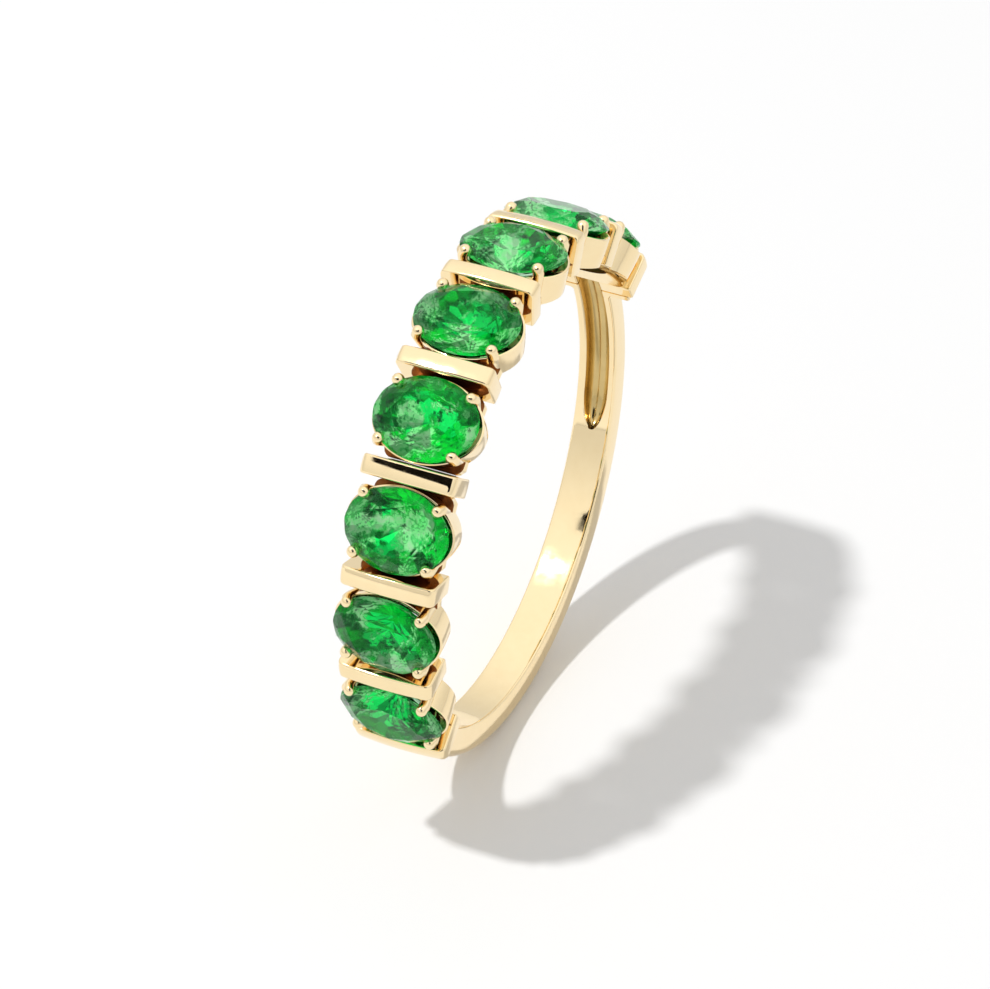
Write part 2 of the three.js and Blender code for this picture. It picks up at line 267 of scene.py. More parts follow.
def standing(s, angle=TOP):
    """From millimetres, standing at the head's top, to metres at an angle round the ring"""
    turn = Matrix.Rotation(s.display_roll + TOP - angle, 4, "Y")
    return turn @ Matrix.Scale(0.001, 4)


def make_piece(bm, name, node, matrix, materials, smooth_below=math.radians(35)):
    """Turns a bmesh into a piece that stands for a CAD node"""
    bmesh.ops.transform(bm, matrix=matrix, verts=bm.verts)
    bmesh.ops.recalc_face_normals(bm, faces=bm.faces)
    mesh = bpy.data.meshes.new(name)
    bm.to_mesh(mesh)
    bm.free()
    for material in materials:
        mesh.materials.append(material)
    if smooth_below:
        mesh.shade_smooth()
        mesh.set_sharp_from_angle(angle=smooth_below)
    piece = bpy.data.objects.new(name, mesh)
    bpy.context.scene.collection.objects.link(piece)
    low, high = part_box(node)
    corners = [Vector(c) for c in piece.bound_box]
    for axis in range(3):
        off = max(
            abs(min(c[axis] for c in corners) - low[axis]),
            abs(max(c[axis] for c in corners) - high[axis]),
        )
        if off > BOX_SLACK:
            raise RuntimeError(f"{name} is {off * 1000:.2f} mm from {node} on axis {axis}")
    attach(piece, "root")
    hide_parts(node)
    return piece


# ---------------------------------------------------------------- materials
def linear(code):
    """sRGB hex to a linear colour"""
    parts = [int(code[i : i + 2], 16) / 255 for i in (1, 3, 5)]
    return (*[c / 12.92 if c <= 0.04045 else ((c + 0.055) / 1.055) ** 2.4 for c in parts], 1)


def add_node(tree, kind, inputs=None, **settings):
    """Adds a node; an input is either a value or another node's output socket"""
    made = tree.nodes.new(kind)
    for name, value in settings.items():
        setattr(made, name, value)
    for name, value in (inputs or {}).items():
        socket = made.inputs[name]
        if isinstance(value, bpy.types.NodeSocket):
            tree.links.new(value, socket)
        else:
            socket.default_value = value
    return made


def new_material(name):
    material = bpy.data.materials.new(name)
    material.use_nodes = True
    material.node_tree.nodes.clear()
    return material, material.node_tree


def polished_gold():
    """14 carat yellow gold, polished on a wheel: a warm mirror whose reflections bend a little"""
    if "polished_yellow_gold" in bpy.data.materials:
        return bpy.data.materials["polished_yellow_gold"]
    material, tree = new_material("polished_yellow_gold")
    place = add_node(tree, "ShaderNodeTexCoord").outputs["Object"]
    # A buffing wheel leaves swells about 1.2 mm apart, which bend reflections a little.
    swell = add_node(
        tree,
        "ShaderNodeTexNoise",
        {"Vector": place, "Scale": 1 / 0.0012, "Detail": 1.5, "Roughness": 0.4},
    )
    # Wear and fingerprints dull the mirror in soft patches about 0.5 mm across.
    haze = add_node(tree, "ShaderNodeTexNoise", {"Vector": place, "Scale": 1 / 0.0005, "Detail": 4.0})
    rough = add_node(
        tree,
        "ShaderNodeMapRange",
        {
            "Value": haze.outputs["Fac"],
            "From Min": 0.35,
            "From Max": 0.7,
            "To Min": 0.045,
            "To Max": 0.11,
        },
    )
    bump = add_node(
        tree, "ShaderNodeBump", {"Height": swell.outputs["Fac"], "Strength": 1.0, "Distance": 0.000006}
    )
    tint = linear(bpy.context.scene.ring_colours.gold)
    deeper = tuple(c * f for c, f in zip(tint, (0.96, 0.93, 0.88))) + (1,)
    shade = add_node(
        tree, "ShaderNodeMix", {"Factor": haze.outputs["Fac"], "A": tint, "B": deeper}, data_type="RGBA"
    )
    shader = add_node(
        tree,
        "ShaderNodeBsdfPrincipled",
        {
            "Base Color": shade.outputs["Result"],
            "Metallic": 1.0,
            "Roughness": rough.outputs["Result"],
            "Normal": bump.outputs["Normal"],
        },
    )
    add_node(tree, "ShaderNodeOutputMaterial", {"Surface": shader.outputs["BSDF"]})
    return material


def recess_shade_gold():
    """The same gold, dull and grained, in a brown that paints the shade of the deep recesses onto it"""
    if "recess_shade_yellow_gold" in bpy.data.materials:
        return bpy.data.materials["recess_shade_yellow_gold"]
    material, tree = new_material("recess_shade_yellow_gold")
    place = add_node(tree, "ShaderNodeTexCoord").outputs["Object"]
    # The investment leaves a grain of about 0.06 mm.
    grain = add_node(tree, "ShaderNodeTexNoise", {"Vector": place, "Scale": 1 / 0.00006, "Detail": 3.0})
    bump = add_node(
        tree, "ShaderNodeBump", {"Height": grain.outputs["Fac"], "Strength": 0.6, "Distance": 0.000006}
    )
    # Painted shade: the brown that stands in for the recesses' shade.
    tint = linear(bpy.context.scene.ring_colours.cast)
    darker = tuple(c * 0.7 for c in tint[:3]) + (1,)
    shade = add_node(
        tree, "ShaderNodeMix", {"Factor": grain.outputs["Fac"], "A": tint, "B": darker}, data_type="RGBA"
    )
    shader = add_node(
        tree,
        "ShaderNodeBsdfPrincipled",
        {
            "Base Color": shade.outputs["Result"],
            "Metallic": 1.0,
            "Roughness": 0.42,
            "Normal": bump.outputs["Normal"],
        },
    )
    add_node(tree, "ShaderNodeOutputMaterial", {"Surface": shader.outputs["BSDF"]})
    return material


def satin_shade_gold():
    """The same gold with a satin finish inside the hollow: softer than the mirror, in a deeper colour
    that paints the hollow's shade
    """
    if "satin_shade_yellow_gold" in bpy.data.materials:
        return bpy.data.materials["satin_shade_yellow_gold"]
    material, tree = new_material("satin_shade_yellow_gold")
    place = add_node(tree, "ShaderNodeTexCoord").outputs["Object"]
    # Painted shade: the tone darkens in patches about 0.8 mm apart.
    painted_shade_patches = add_node(tree, "ShaderNodeTexNoise", {"Vector": place, "Scale": 1 / 0.0008, "Detail": 2.0})
    tint = linear(bpy.context.scene.ring_colours.satin_shade)
    deeper = tuple(c * f for c, f in zip(tint, (0.72, 0.66, 0.52))) + (1,)
    shade = add_node(
        tree, "ShaderNodeMix", {"Factor": painted_shade_patches.outputs["Fac"], "A": tint, "B": deeper}, data_type="RGBA"
    )
    shader = add_node(
        tree,
        "ShaderNodeBsdfPrincipled",
        {"Base Color": shade.outputs["Result"], "Metallic": 1.0, "Roughness": 0.16},
    )
    add_node(tree, "ShaderNodeOutputMaterial", {"Surface": shader.outputs["BSDF"]})
    return material


def emerald_crown():
    """Natural emerald, cut and polished: the clear upper half that gives the sharp facet glints"""
    if "emerald_crown" in bpy.data.materials:
        return bpy.data.materials["emerald_crown"]
    material, tree = new_material("emerald_crown")
    shader = add_node(
        tree,
        "ShaderNodeBsdfPrincipled",
        {
            "Base Color": linear(bpy.context.scene.ring_colours.clear),
            "Roughness": 0.0,
            "IOR": 1.58,
            "Specular Tint": linear(bpy.context.scene.ring_colours.glint),
            "Transmission Weight": 1.0,
        },
    )
    add_node(tree, "ShaderNodeOutputMaterial", {"Surface": shader.outputs["BSDF"]})
    return material


def emerald_garden():
    """Natural emerald seen from inside: facets with painted light and shade, between veils and moss"""
    if "emerald_garden" in bpy.data.materials:
        return bpy.data.materials["emerald_garden"]
    colours = bpy.context.scene.ring_colours
    material, tree = new_material("emerald_garden")
    place = add_node(tree, "ShaderNodeTexCoord").outputs["Object"]
    # Colour zones run about 2 mm across.
    zone = add_node(tree, "ShaderNodeTexNoise", {"Vector": place, "Scale": 1 / 0.002, "Detail": 1.0})
    zoned = add_node(
        tree, "ShaderNodeMapRange", {"Value": zone.outputs["Fac"], "From Min": 0.4, "From Max": 0.6}
    )
    # Veils are pale clouds about 1.2 mm apart, broken up by threads about 0.3 mm apart.
    veil = add_node(
        tree,
        "ShaderNodeTexNoise",
        {"Vector": place, "Scale": 1 / 0.0012, "Detail": 6.0, "Roughness": 0.68, "Distortion": 0.3},
    )
    veiled = add_node(
        tree, "ShaderNodeMapRange", {"Value": veil.outputs["Fac"], "From Min": 0.47, "From Max": 0.57}
    )
    thread = add_node(
        tree,
        "ShaderNodeTexNoise",
        {"Vector": place, "Scale": 1 / 0.00034, "Detail": 4.0, "Roughness": 0.62, "Distortion": 0.5},
    )
    threaded = add_node(
        tree,
        "ShaderNodeMapRange",
        {"Value": thread.outputs["Fac"], "From Min": 0.38, "From Max": 0.6, "To Min": 0.3},
    )
    cloudy = add_node(
        tree,
        "ShaderNodeMath",
        {0: veiled.outputs["Result"], 1: threaded.outputs["Result"]},
        operation="MULTIPLY",
    ).outputs["Value"]
    # Moss gathers in dark patches about 0.7 mm apart.
    moss = add_node(
        tree,
        "ShaderNodeTexNoise",
        {"Vector": place, "Scale": 1 / 0.0007, "Detail": 6.0, "Roughness": 0.8, "Distortion": 0.3},
    )
    mossy = add_node(
        tree,
        "ShaderNodeMapRange",
        {"Value": moss.outputs["Fac"], "From Min": 0.54, "From Max": 0.62, "To Max": 0.95},
    )
    # Painted light and shade: each facet has its own brightness, darkened towards the moss colour, so
    # neighbours differ with a crisp edge.
    facet = add_node(tree, "ShaderNodeAttribute", attribute_name="facet_painted_light")
    painted_facet_shade = add_node(
        tree,
        "ShaderNodeMapRange",
        {
            "Value": facet.outputs["Fac"],
            "From Min": 0.05,
            "From Max": 0.6,
            "To Min": 0.9,
            "To Max": 0.0,
        },
    )
    tint = add_node(
        tree,
        "ShaderNodeMix",
        {"Factor": zoned.outputs["Result"], "A": linear(colours.deep), "B": linear(colours.emerald)},
        data_type="RGBA",
    )
    # Veils and moss, then each facet's painted shade in the moss colour.
    for share, tone in (
        (cloudy, colours.cloud),
        (mossy.outputs["Result"], colours.moss),
        (painted_facet_shade.outputs["Result"], colours.moss),
    ):
        tint = add_node(
            tree,
            "ShaderNodeMix",
            {"Factor": share, "A": tint.outputs["Result"], "B": linear(tone)},
            data_type="RGBA",
        )
    # The facets' metallic share stands for light thrown back inside; veils scatter it instead.
    thrown_back = add_node(
        tree, "ShaderNodeMapRange", {"Value": cloudy, "From Max": 0.6, "To Min": 0.85, "To Max": 0.15}
    )
    rough = add_node(
        tree, "ShaderNodeMapRange", {"Value": cloudy, "From Max": 0.5, "To Min": 0.04, "To Max": 0.35}
    )
    crackle = add_node(
        tree, "ShaderNodeBump", {"Height": thread.outputs["Fac"], "Strength": 1.0, "Distance": 0.000005}
    )
    shader = add_node(
        tree,
        "ShaderNodeBsdfPrincipled",
        {
            "Base Color": tint.outputs["Result"],
            "Metallic": thrown_back.outputs["Result"],
            "Specular IOR Level": 0.0,
            "Roughness": rough.outputs["Result"],
            "Normal": crackle.outputs["Normal"],
        },
    )
    add_node(tree, "ShaderNodeOutputMaterial", {"Surface": shader.outputs["BSDF"]})
    return material


# ---------------------------------------------------------------- pieces
class RING_OT_shank(bpy.types.Operator):
    """Build the half-round shank with its flanged ends and the hollow inside one shoulder"""

    bl_idname = "ring.shank"
    bl_label = "Shank"

    def section(self, s, half, thick, channel):
        """Points of the band's cross-section: distance from the finger's axis, and place along it"""
        points = []
        edge = s.edge_round
        for turn in EDGE_TURNS:
            t = math.radians(turn)
            points.append((s.hole + edge * (1 - math.sin(t)), -half + edge * (1 - math.cos(t))))
        lip = 0.035 if channel else 0
        depth = s.channel_depth * min(1, 2 * channel / s.channel_width) ** 0.8  # shallower at its tip
        flat = half - edge
        points += [
            (s.hole, lerp(-flat, -channel - lip, k / FLAT_STEPS)) for k in range(1, FLAT_STEPS + 1)
        ]
        for step in range(HOLLOW_STEPS + 1):
            t = step / HOLLOW_STEPS * math.pi
            points.append((s.hole + lip + (depth - lip) * math.sin(t) ** 0.55, -channel * math.cos(t)))
        points += [(s.hole, lerp(channel + lip, flat, k / FLAT_STEPS)) for k in range(FLAT_STEPS)]
        for turn in reversed(EDGE_TURNS):
            t = math.radians(turn)
            points.append((s.hole + edge * (1 - math.sin(t)), half - edge * (1 - math.cos(t))))
        points = [(r + s.comfort * (y / half) ** 2, y) for r, y in points]
        for step in range(DOME_STEPS + 1):
            t = math.pi / 2 - step / DOME_STEPS * math.pi
            points.append((s.hole + thick - s.dome * (1 - math.cos(t)), half * math.sin(t)))
        return points

    def stations(self, s):
        """Cross-sections along the band from its +X end

        Each is measured from the near or the far end's bar or is at an angle, and has the place,
        the band's half width and the hollow's half width there.
        """
        narrow = s.shank_width / 2
        wide = s.bar_length / 2 - s.flange_inset
        near = s.half_bar + s.seam
        far = near + s.flange_thick
        soft = 0.03  # rounding of the flange's edge
        flange = [(near, wide), (far - soft, wide)]
        flange += [(far - soft * 0.3, wide - soft * 0.3), (far, wide - soft)]
        flange.append((far + 0.003, narrow + s.flange_fillet))
        for step in range(1, 8):
            t = step / 7 * math.pi / 2
            away = far + s.flange_fillet * (1 - math.cos(t))
            flange.append((away, narrow + s.flange_fillet * (1 - math.sin(t))))
        last = math.asin((far + s.flange_fillet) / s.hole)
        span = 2 * s.end + math.pi  # from the end bar at +X down and round to the one at -X
        tip = span - s.channel_span
        tip_length = s.channel_tip / s.hole
        channel = s.channel_width / 2
        made = [("near", away, half, 0) for away, half in flange]
        plain_steps, tip_steps, hollow_steps = 83, 12, 40
        for step in range(1, plain_steps + 1):
            angle = lerp(last, tip - math.radians(0.4), step / plain_steps)
            made.append(("angle", angle, narrow, 0))
        for step in range(tip_steps + 1):
            t = step / tip_steps * math.pi / 2
            wall = channel * math.sin(t) ** 1.2
            made.append(("angle", tip + tip_length * (1 - math.cos(t)), narrow, wall if step else 0))
        for step in range(1, hollow_steps):
            angle = lerp(tip + tip_length, span - last, step / hollow_steps)
            made.append(("angle", angle, narrow, channel))
        made += [("far", away, half, channel) for away, half in reversed(flange)]
        return made

    def execute(self, context):
        s = sizes()
        drop = s.bottom_thick - s.shoulder_thick
        outer = s.hole + s.shoulder_thick
        stations = self.stations(s)
        columns = len(self.section(s, 1, 1, 0.3))
        bm = bmesh.new()
        column_of = bm.verts.layers.int.new("column")
        start = bmesh.ops.create_circle(
            bm, segments=columns, radius=0.5, matrix=Matrix.Translation((s.hole, 0, 0))
        )
        for index, vert in enumerate(start["verts"]):
            vert[column_of] = index
        steps = len(stations) - 1
        bmesh.ops.spin(
            bm,
            geom=bm.verts[:] + bm.edges[:],
            cent=(0, 0, 0),
            axis=(0, 1, 0),
            angle=SPUN,
            steps=steps,
        )
        for vert in bm.verts:
            turn = math.atan2(-vert.co.z, vert.co.x)
            kind, place, half, channel = stations[round(turn / SPUN * steps)]
            middle = place
            if kind == "near":
                middle = math.asin(place / s.hole)
            elif kind == "far":
                middle = 2 * s.end + math.pi - math.asin(place / s.hole)
            low = -drop * math.sin(s.end - middle)  # the outer circle sits lower than the hole
            thick = low + math.sqrt(outer**2 - drop**2 + low**2) - s.hole
            radius, y = self.section(s, half, thick, channel)[vert[column_of]]
            if kind == "near":
                middle = math.asin(place / radius)
            elif kind == "far":
                middle = 2 * s.end + math.pi - math.asin(place / radius)
            angle = s.end - middle
            vert.co = (radius * math.cos(angle), y, radius * math.sin(angle))
        for face in bm.faces:  # the wheel doesn't fit into the hollow; its satin finish's deeper colour paints the hollow's shade
            hollow = all(v[column_of] in HOLLOW_COLUMNS for v in face.verts)
            if hollow and all(math.hypot(v.co.x, v.co.z) > s.hole + 0.08 for v in face.verts):
                face.material_index = 1
        bmesh.ops.remove_doubles(bm, verts=bm.verts, dist=0.0005)
        bmesh.ops.holes_fill(bm, edges=[e for e in bm.edges if e.is_boundary])
        finishes = [polished_gold(), satin_shade_gold()]
        make_piece(bm, "shank_half_round", "shank", standing(s), finishes)
        return {"FINISHED"}


class RING_OT_bars(bpy.types.Operator):
    """Build the upright divider bars, crowned on top, with softened edges"""

    bl_idname = "ring.bars"
    bl_label = "Divider bars"

    def bar(self, s, grooved):
        top = s.hole + s.bar_height
        half = s.bar_length / 2
        foot = half - s.bar_taper * s.bar_height / (top - s.start)
        outline = [(-foot, s.hole)]
        if grooved:
            wall, floor = s.channel_width / 2, s.hole + s.channel_depth
            outline += [(-wall, s.hole), (-wall, floor - wall / 2), (-wall / 2, floor)]
            outline += [(wall / 2, floor), (wall, floor - wall / 2), (wall, s.hole)]
        outline += [(foot, s.hole), (half, top), (-half, top)]
        bm = bmesh.new()
        verts = [bm.verts.new((-s.half_bar, y, z)) for y, z in outline]
        face = bm.faces.new(verts)
        bmesh.ops.bevel(
            bm,
            geom=verts[-2:],
            offset=s.bar_shoulder,
            offset_type="OFFSET",
            segments=8,
            profile=0.5,
            affect="VERTICES",
            material=-1,
        )
        ridge = [e for e in bm.edges if min(v.co.z for v in e.verts) > top - 1e-4]
        bmesh.ops.subdivide_edges(bm, edges=ridge, cuts=17)
        reach = half - s.bar_shoulder
        for vert in bm.verts:
            if vert.co.z > top - 1e-4:
                vert.co.z += s.bar_crown * max(0, 1 - (vert.co.y / reach) ** 2)
        made = bmesh.ops.extrude_face_region(bm, geom=bm.faces[:])["geom"]
        moved = [g for g in made if isinstance(g, bmesh.types.BMVert)]
        bmesh.ops.translate(bm, verts=moved, vec=(s.bar_thick, 0, 0))
        for step in range(1, 10):
            x = lerp(-s.half_bar, s.half_bar, step / 10)
            geom = bm.verts[:] + bm.edges[:] + bm.faces[:]
            bmesh.ops.bisect_plane(bm, geom=geom, dist=1e-6, plane_co=(x, 0, 0), plane_no=(1, 0, 0))
        bmesh.ops.recalc_face_normals(bm, faces=bm.faces)
        sharp = [e for e in bm.edges if e.calc_face_angle(0) > math.radians(50)]
        bmesh.ops.bevel(
            bm,
            geom=sharp,
            offset=s.bar_edge,
            offset_type="OFFSET",
            segments=4,
            profile=0.5,
            affect="EDGES",
            clamp_overlap=True,
            material=-1,
        )
        for vert in bm.verts:  # bow the top and the ends across the bar's thickness
            away = (vert.co.x / s.half_bar) ** 2
            vert.co.z -= s.bar_bow * away * max(0, (vert.co.z - s.hole) / s.bar_height)
            vert.co.y *= 1 - 0.5 * s.bar_bow * away / half
        return bm

    def execute(self, context):
        s = sizes()
        for index in range(s.stone_count + 1):
            bm = self.bar(s, grooved=index == 0)
            name = f"divider_bar_polished_{index + 1}"
            matrix = standing(s, bar_angle(s, index))
            piece = make_piece(bm, name, f"divider_bar_{index + 1}", matrix, [polished_gold()])
            flat = piece.modifiers.new("flat faces stay flat", "WEIGHTED_NORMAL")
            flat.keep_sharp = True
        return {"FINISHED"}


class RING_OT_collets(bpy.types.Operator):
    """Build the open oval cups, each with four bead-tipped claws"""

    bl_idname = "ring.collets"
    bl_label = "Claw collets"

    def half_at(self, s, height, inset=0):
        share = (height - s.start) / (s.rim - s.start)
        belly = 0.03 * math.sin(math.pi * min(1, max(0, share)))
        return (
            lerp(s.foot_half.x, s.rim_half.x, share) - inset,
            lerp(s.foot_half.y, s.rim_half.y, share) - inset + (belly if not inset else 0),
        )

    def cup(self, bm, s):
        rim, wall = s.rim, s.collet_wall
        outside = [(rim - 0.02, 0.0), *[(lerp(rim, s.hole, i / 6), 0.0) for i in range(1, 7)]]
        inside = [(lerp(s.hole, rim - 0.16, i / 4), wall) for i in range(5)]
        levels = [(rim, 0.03), *outside, *inside, (rim - 0.03, wall * 0.3), (rim, 0.07)]
        before = (1, 1, 0)
        loops = []
        verts = bmesh.ops.create_circle(bm, segments=80, radius=1)["verts"]
        edges = edge_loop(bm, verts)
        for index, (height, inset) in enumerate(levels):
            half = self.half_at(s, height, inset)
            move = (
                Matrix.Translation((0, 0, height))
                @ Matrix.Diagonal((half[0] / before[0], half[1] / before[1], 1, 1))
                @ Matrix.Translation((0, 0, -before[2]))
            )
            if index:
                verts, edges = extruded(bm, edges, move)
            else:
                bmesh.ops.transform(bm, matrix=move, verts=verts)
            before = (*half, height)
            loops.append((verts, edges))
        bmesh.ops.bridge_loops(bm, edges=loops[0][1] + loops[-1][1])
        for verts, _ in loops:  # the rim dips between the claws at the stone's ends
            for vert in verts:
                share = max(0, (vert.co.z - s.hole) / (s.rim - s.hole)) ** 2
                vert.co.z -= s.rim_dip * share * min(1, abs(vert.co.y) / s.rim_half.y) ** 6
        for (height, _), (verts, _) in zip(levels, loops):  # the foot follows the finger hole
            if abs(height - s.hole) < 1e-6:
                for vert in verts:
                    vert.co.z = math.sqrt(s.hole**2 - vert.co.x**2)

    def base(self, bm, s):
        """The plate round the cup's foot, whose long sides lean with the bars beside it"""
        top = s.hole + s.base_thick
        verts = bmesh.ops.create_circle(bm, segments=96, radius=1)["verts"]
        edges = edge_loop(bm, verts)
        loops = [(verts, edges)]
        for _ in range(4):
            loops.append(extruded(bm, loops[-1][1], Matrix.Identity(4)))
        bmesh.ops.bridge_loops(bm, edges=loops[0][1] + loops[-1][1])
        soft = 0.04  # rounding of the plate's top edge
        outlines = (
            (top, soft, True),
            (top - soft, 0, True),
            (s.hole, 0, True),
            (s.hole, 0, False),
            (top, 0, False),
        )
        lean = math.tan(s.pitch / 2)
        beside = s.half_bar / math.cos(s.pitch / 2) + s.seam
        for (verts, _), (height, inset, outer) in zip(loops, outlines):
            for vert in verts:
                x, y = vert.co.x, vert.co.y
                if outer:
                    half_x = height * lean - beside - inset
                    half_y = s.base_length / 2 - inset
                    corner = half_x + half_y - s.base_corner
                    reach = min(
                        half_x / max(abs(x), 1e-9),
                        half_y / max(abs(y), 1e-9),
                        corner / (abs(x) + abs(y)),
                    )
                    vert.co = (x * reach, y * reach, height)
                else:
                    hole = s.foot_half - Vector((s.base_ledge, s.base_ledge))
                    vert.co = (x * hole.x, y * hole.y, height)
                if height == s.hole:
                    vert.co.z = math.sqrt(s.hole**2 - vert.co.x**2)

    def claw(self, bm, s, side_x, side_y):
        diagonal = math.sqrt(0.5)
        radius = s.claw_radius
        foot = Vector(
            (
                side_x * diagonal * (s.foot_half.x - radius / 2),
                side_y * diagonal * (s.foot_half.y - radius / 2),
                s.start + radius + 0.18,
            )
        )
        tip = Vector(
            (
                side_x * diagonal * (s.stone_width / 2 + s.claw_out),
                side_y * diagonal * (s.stone_length / 2 + s.claw_out),
                s.girdle + s.claw_rise,
            )
        )
        lean = Vector((-side_x * s.claw_lean, -side_y * s.claw_lean, 0))
        shaft = (tip - foot).normalized()
        bend = (shaft + lean * 5).normalized()
        path = [(foot, shaft, radius * 0.5), (foot + shaft * 0.04, shaft, radius)]
        for share in (0.3, 0.55, 0.75):
            path.append((foot.lerp(tip, share), shaft, radius))
        neck = lerp(radius, s.claw_bead, 0.5)
        path.append((foot.lerp(tip, 0.9) + lean * 0.25, (shaft + bend).normalized(), neck))
        centre = tip + lean
        for turn in (-25, 0, 20, 38, 54, 68, 80):
            t = math.radians(turn)
            path.append((centre + bend * math.sin(t) * s.claw_bead, bend, math.cos(t) * s.claw_bead))
        before = Matrix.Identity(4)
        verts = bmesh.ops.create_circle(bm, cap_ends=True, segments=20, radius=1)["verts"]
        edges = edge_loop(bm, verts)
        for index, (at, way, size) in enumerate(path):
            turn = Vector((0, 0, 1)).rotation_difference(way).to_matrix().to_4x4()
            now = Matrix.Translation(at) @ turn @ Matrix.Scale(size, 4)
            if index:
                verts, edges = extruded(bm, edges, now @ before.inverted())
            else:
                bmesh.ops.transform(bm, matrix=now, verts=verts)
            before = now
        bmesh.ops.edgeloop_fill(bm, edges=edges)

    def execute(self, context):
        s = sizes()
        for index in range(s.stone_count):
            bm = bmesh.new()
            self.base(bm, s)
            self.cup(bm, s)
            bmesh.ops.recalc_face_normals(bm, faces=bm.faces)
            # The plate's top and the low walls beside the bars get the dull brown finish, whose colour
            # paints the shade deep in these recesses.
            for face in bm.faces:
                middle = face.calc_center_median()
                plate_top = abs(middle.z - s.hole - s.base_thick) < 0.03 and face.normal.z > 0.5
                low = middle.z < s.rim - 0.25 and abs(middle.y) < 1.15
                if plate_top or (low and abs(face.normal.x) > 0.6):
                    face.material_index = 1
            for side_x in (-1, 1):
                for side_y in (-1, 1):
                    self.claw(bm, s, side_x, side_y)
            name = f"claw_collet_polished_{index + 1}"
            matrix = standing(s, stone_angle(s, index))
            finishes = [polished_gold(), recess_shade_gold()]
            make_piece(bm, name, f"claw_collet_{index + 1}", matrix, finishes, math.radians(50))
        return {"FINISHED"}


class RING_OT_emeralds(bpy.types.Operator):
    """Cut the oval emeralds facet by facet: a brilliant crown over a stepped pavilion"""

    bl_idname = "ring.emeralds"
    bl_label = "Emeralds"

    def cut(self, bm, through, normal):
        geom = bm.verts[:] + bm.edges[:] + bm.faces[:]
        done = bmesh.ops.bisect_plane(
            bm, geom=geom, dist=1e-6, plane_co=through, plane_no=normal, clear_outer=True
        )
        edges = [g for g in done["geom_cut"] if isinstance(g, bmesh.types.BMEdge) and g.is_boundary]
        if edges:
            bmesh.ops.edgeloop_fill(bm, edges=edges)

    def facet(self, bm, a, b, c):
        """Cuts away what lies outside the plane through three points"""
        normal = (b - a).cross(c - a).normalized()
        if normal.dot(a) < 0:
            normal.negate()
        self.cut(bm, a, normal)

    def stone(self, s, index):
        """A round stone of radius 1, cut and then stretched to its oval"""
        unit = math.sqrt(s.stone_length * s.stone_width) / 2
        belt, crown, depth = s.girdle_thick / 2 / unit, s.crown / unit, s.pavilion / unit
        table, star = s.table_share, 0.82

        def at(radius, turn, height):
            t = math.radians(turn)
            return Vector((radius * math.cos(t), radius * math.sin(t), height))

        bm = bmesh.new()
        bmesh.ops.create_cone(
            bm,
            cap_ends=True,
            segments=96,
            radius1=1,
            radius2=1,
            depth=2 * (belt + depth),
        )
        half_step = math.cos(math.radians(22.5))
        star_height = belt + crown * (1 - star * half_step) / (1 - table)
        self.cut(bm, Vector((0, 0, belt + crown)), Vector((0, 0, 1)))
        for k in range(8):
            turn = 45 * k
            inner = at(star, turn + 22.5, star_height)
            self.facet(bm, at(1, turn, belt), inner, at(star, turn - 22.5, star_height))
            self.facet(bm, at(table, turn, belt + crown), at(table, turn + 45, belt + crown), inner)
            for side in (0, 45):
                self.facet(bm, at(1, turn + side, belt), at(1, turn + 22.5, belt), inner)
        # Four steps of 16 facets: how far out each starts, its slope and its turn
        for reach, rise, offset in ((1.0, 56, 0), (0.86, 45, 11.25), (0.6, 37, 0), (0.3, 30, 11.25)):
            for k in range(16):
                t = math.radians(22.5 * k + offset)
                slope = math.radians(rise)
                out = Vector((math.cos(t), math.sin(t), 0))
                down = Vector((0, 0, -1))
                height = -belt - depth * (1 - reach) * 1.06
                normal = out * math.sin(slope) + down * math.cos(slope)
                self.cut(bm, out * reach + Vector((0, 0, height)), normal)
        bmesh.ops.dissolve_limit(
            bm,
            angle_limit=math.radians(0.5),
            verts=bm.verts,
            edges=bm.edges,
            use_dissolve_boundaries=False,
        )
        bmesh.ops.recalc_face_normals(bm, faces=bm.faces)
        # Painted light and shade: each facet gets its own brightness, read by the emerald's inner
        # material.
        tone = bm.faces.layers.float.new("facet_painted_light")
        for count, face in enumerate(bm.faces):
            face.material_index = 1 if face.normal.z < -0.2 else 0
            flat = max(0, min(1, (-face.normal.z - 0.5) / 0.4))  # painted shade: the steep facets by the girdle go dark
            own = ((count + 5 * index) * GOLDEN_SHARE) % 1
            face[tone] = lerp(0.15, 1, own) * lerp(0.35, 1, flat)
        stretch = Matrix.Diagonal((s.stone_width / 2, s.stone_length / 2, unit, 1))
        bmesh.ops.transform(bm, matrix=Matrix.Translation((0, 0, s.girdle)) @ stretch, verts=bm.verts)
        return bm

    def execute(self, context):
        s = sizes()
        for index in range(s.stone_count):
            bm = self.stone(s, index)
            name = f"oval_emerald_cut_{index + 1}"
            matrix = standing(s, stone_angle(s, index))
            finishes = [emerald_crown(), emerald_garden()]
            make_piece(bm, name, f"oval_emerald_{index + 1}", matrix, finishes, 0)
        return {"FINISHED"}


